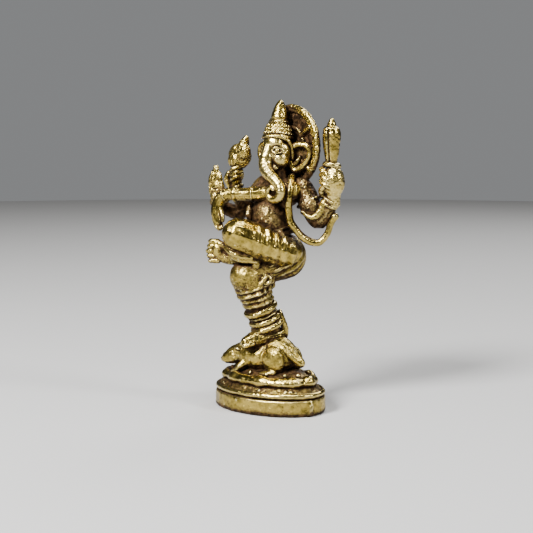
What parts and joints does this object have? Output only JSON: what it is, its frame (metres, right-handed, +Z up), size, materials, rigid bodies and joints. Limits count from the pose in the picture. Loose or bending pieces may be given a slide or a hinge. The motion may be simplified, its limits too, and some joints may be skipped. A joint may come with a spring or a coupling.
{
  "type": "dancing elephant-headed figure",
  "caption": "Small cast brass figure dancing on one leg on a mouse, elephant head, many arms, halo, oval base.",
  "frame": {"origin": "centre of the oval base's underside", "axes": "+Z up through the crown, the figure looks along -Y, its left hand is on +X, the oval base is longest along X"},
  "size_m": [0.0192, 0.0134, 0.0434],
  "materials": {
    "polished_brass": "rubbed bright on the high points, dark in the hollows",
    "patinated_brass": "darkened cast surface with rubbed edges"
  },
  "bodies": {
    "root": {"base_plinth": "polished_brass", "plinth_bead": "polished_brass", "base_ledge": "patinated_brass", "base_ring": "polished_brass", "base_mound": "patinated_brass", "pearls": "polished_brass", "mouse_body": "polished_brass", "mouse_rump": "polished_brass", "mouse_head": "polished_brass", "mouse_ears": "polished_brass", "mouse_forelegs": "polished_brass", "mouse_hind_legs": "polished_brass", "mouse_tail": "polished_brass", "standing_foot": "polished_brass", "standing_shin": "polished_brass", "standing_knee": "polished_brass", "standing_thigh": "polished_brass", "lower_anklet": "polished_brass", "upper_anklet": "polished_brass", "heel_strap": "polished_brass", "knee_hem": "polished_brass", "raised_thigh": "polished_brass", "raised_shin": "polished_brass", "raised_foot": "polished_brass", "raised_hem": "polished_brass", "seat": "polished_brass", "tassel": "polished_brass", "sash_loop": "polished_brass", "girdle": "polished_brass", "belly": "patinated_brass", "chest": "patinated_brass", "thread_end": "polished_brass", "neck": "patinated_brass", "head": "polished_brass", "trunk": "polished_brass", "eyes": "polished_brass", "left_ear": "patinated_brass", "right_ear": "patinated_brass", "left_ear_rim": "polished_brass", "right_ear_rim": "polished_brass", "crown_band": "polished_brass", "crown_cap": "polished_brass", "crown_finial": "polished_brass", "halo_disc": "patinated_brass", "halo_rim": "polished_brass", "halo_spokes": "polished_brass", "front_left_arm": "polished_brass", "front_left_hand": "polished_brass", "front_right_arm": "patinated_brass", "front_right_hand": "polished_brass", "rear_left_arm": "patinated_brass", "rear_left_hand": "polished_brass", "rear_left_bands": "polished_brass", "lotus_bud": "polished_brass", "rear_right_arm": "patinated_brass", "rear_right_hand": "polished_brass", "rear_right_bands": "polished_brass", "axe": "polished_brass", "scarf": "polished_brass"}
  },
  "joints": []
}
